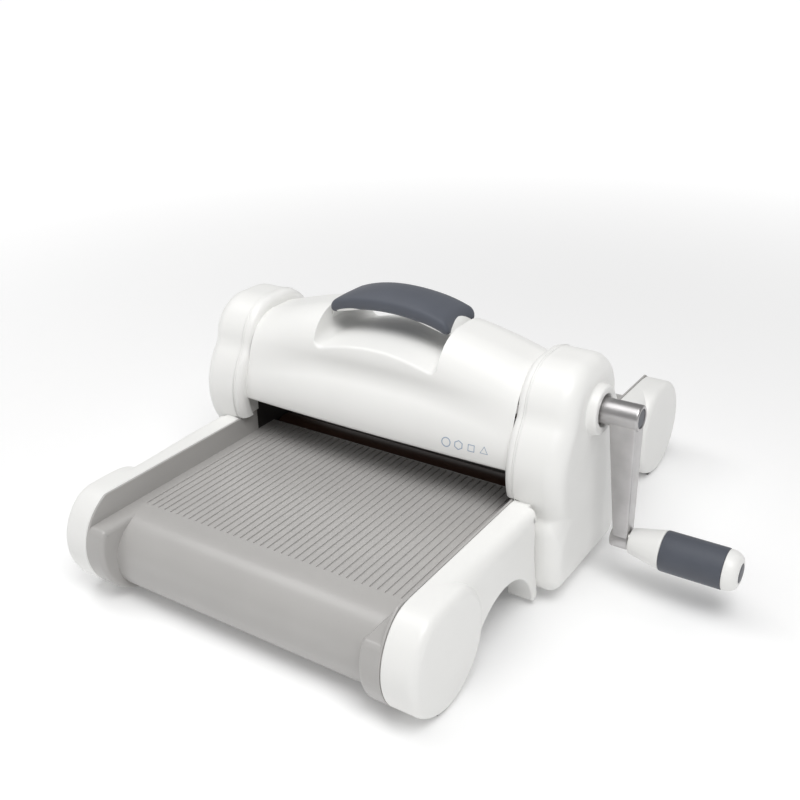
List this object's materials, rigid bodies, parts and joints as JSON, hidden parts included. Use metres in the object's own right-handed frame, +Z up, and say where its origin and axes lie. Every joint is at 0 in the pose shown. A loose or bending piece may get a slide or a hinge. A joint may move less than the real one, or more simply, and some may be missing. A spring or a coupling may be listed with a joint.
{
  "type": "die cutting machine",
  "caption": "Hand-cranked die cutting press: geared rollers between round white towers, a grooved feed bed front and back, a carry handle and a turning crank grip.",
  "frame": {"origin": "middle of the machine on the table plane, midway between the towers and between the bed ends", "axes": "+X along the rollers towards the crank, +Y along the feed direction to the rear, +Z up"},
  "size_m": [0.4094, 0.419, 0.188],
  "materials": {
    "white_shell": "satin moulded shell",
    "grey_tray": "fine satin texture",
    "soft_grip": "soft matt overmould",
    "black_plastic": "black moulded",
    "plated_steel": "zinc plated sheet",
    "zinc_hardware": "bright zinc",
    "nylon": "natural nylon",
    "cast_alloy": "satin cast and painted silver",
    "roller_coat": "dark coated roller",
    "foot_rubber": "matt",
    "dark_plastic": "satin"
  },
  "bodies": {
    "machine": {"front_tray": "grey_tray", "rear_tray": "grey_tray", "front_left_rail": "white_shell", "front_right_rail": "white_shell", "rear_left_rail": "white_shell", "rear_right_rail": "white_shell", "front_left_foot": "foot_rubber", "front_right_foot": "foot_rubber", "rear_left_foot": "foot_rubber", "rear_right_foot": "foot_rubber", "left_tower_shell": "white_shell", "right_tower_shell": "white_shell", "left_tower_trim": "white_shell", "right_tower_trim": "white_shell", "top_cover": "white_shell", "carry_grip": "soft_grip", "left_guard": "black_plastic", "right_guard": "black_plastic", "left_side_plate": "plated_steel", "right_side_plate": "plated_steel", "gearbox_plate": "plated_steel", "gearbox_spacers": "zinc_hardware", "upper_tie_rods": "zinc_hardware", "lower_tie_rods": "zinc_hardware", "tie_rod_nuts": "zinc_hardware", "base_pan": "plated_steel", "tray_brackets": "zinc_hardware", "tray_screws": "zinc_hardware", "frame_screws": "zinc_hardware", "tower_screws": "zinc_hardware", "cover_screws": "zinc_hardware", "gearbox_screws": "zinc_hardware", "upper_left_bushing": "nylon", "upper_right_bushing": "nylon", "lower_left_bushing": "nylon", "lower_right_bushing": "nylon", "crank_inner_bushing": "nylon", "crank_outer_bushing": "nylon"},
    "upper_roller": {"upper_roller": "roller_coat", "upper_gear": "nylon", "upper_gear_key": "zinc_hardware", "upper_circlips": "zinc_hardware"},
    "lower_roller": {"lower_roller": "roller_coat", "lower_gear": "nylon", "lower_gear_key": "zinc_hardware", "lower_circlips": "zinc_hardware"},
    "crank": {"crank_shaft": "zinc_hardware", "crank_pinion": "plated_steel", "pinion_pin": "zinc_hardware", "crank_arm": "cast_alloy", "crank_pin": "zinc_hardware", "crank_bolt": "zinc_hardware", "hub_cap": "dark_plastic", "grip_axle": "zinc_hardware", "grip_washer": "zinc_hardware"},
    "grip": {"grip_core": "white_shell", "grip_sleeve": "soft_grip", "grip_plug": "dark_plastic"}
  },
  "joints": [
    {"name": "crank_spin", "type": "hinge", "parent": "machine", "child": "crank", "pos_m": [0.15, 0, 0.13], "axis": [1, 0, 0], "continuous": true},
    {"name": "upper_roller_spin", "type": "hinge", "parent": "machine", "child": "upper_roller", "pos_m": [0, 0, 0.093], "axis": [1, 0, 0], "continuous": true},
    {"name": "lower_roller_spin", "type": "hinge", "parent": "machine", "child": "lower_roller", "pos_m": [0, 0, 0.043], "axis": [1, 0, 0], "continuous": true},
    {"name": "grip_spin", "type": "hinge", "parent": "crank", "child": "grip", "pos_m": [0.206, 0, 0.0385], "axis": [1, 0, 0], "continuous": true}
  ],
  "couplings": [
    {"joint": "upper_roller_spin", "follows": "crank_spin", "ratio": -0.48},
    {"joint": "lower_roller_spin", "follows": "crank_spin", "ratio": 0.48}
  ]
}
